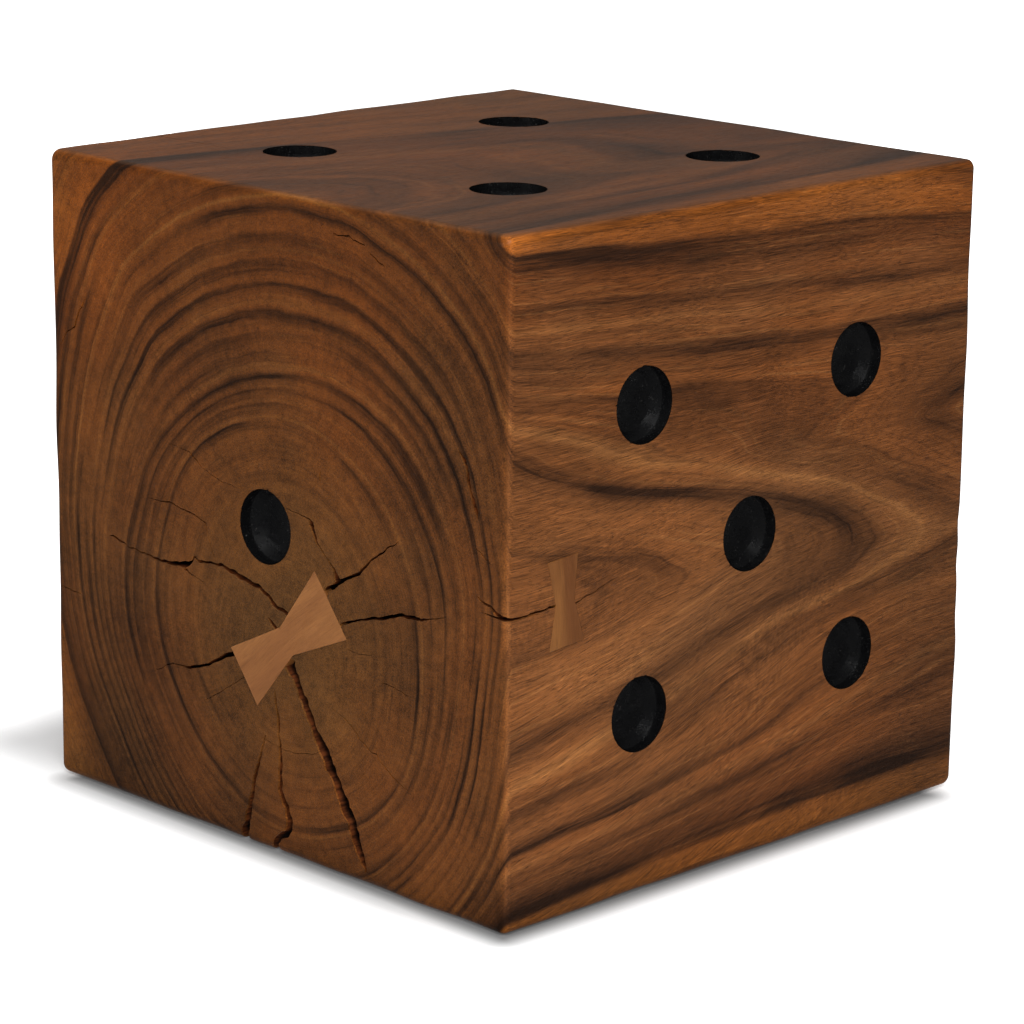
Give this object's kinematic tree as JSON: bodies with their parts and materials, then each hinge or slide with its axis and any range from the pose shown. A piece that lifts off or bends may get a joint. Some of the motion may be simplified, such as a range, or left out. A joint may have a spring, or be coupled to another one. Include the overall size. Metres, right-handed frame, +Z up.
{
  "type": "giant wooden dice",
  "caption": "Stool-sized six-sided die sawn from one hardwood log, with round black dished pips and bow-tie keys let in across its drying cracks.",
  "frame": {"origin": "centre of the underside, which is the face with three pips", "axes": "+Z up out of the face with four pips, +X out of the face with five, -Y out of the end-grain face with one; the log's axis runs along Y"},
  "size_m": [0.411, 0.404, 0.406],
  "materials": {
    "heartwood": "oiled satin, dark rings",
    "key_wood": "oiled satin, pale",
    "side_key_wood": "oiled satin, amber",
    "pip_coat": "satin black lacquer"
  },
  "bodies": {
    "root": {"block": "heartwood", "end_key": "key_wood", "side_key": "side_key_wood", "pip_one_1": "pip_coat", "pip_two_1": "pip_coat", "pip_two_2": "pip_coat", "pip_three_1": "pip_coat", "pip_three_2": "pip_coat", "pip_three_3": "pip_coat", "pip_four_1": "pip_coat", "pip_four_2": "pip_coat", "pip_four_3": "pip_coat", "pip_four_4": "pip_coat", "pip_five_1": "pip_coat", "pip_five_2": "pip_coat", "pip_five_3": "pip_coat", "pip_five_4": "pip_coat", "pip_five_5": "pip_coat", "pip_six_1": "pip_coat", "pip_six_2": "pip_coat", "pip_six_3": "pip_coat", "pip_six_4": "pip_coat", "pip_six_5": "pip_coat", "pip_six_6": "pip_coat"}
  },
  "joints": []
}
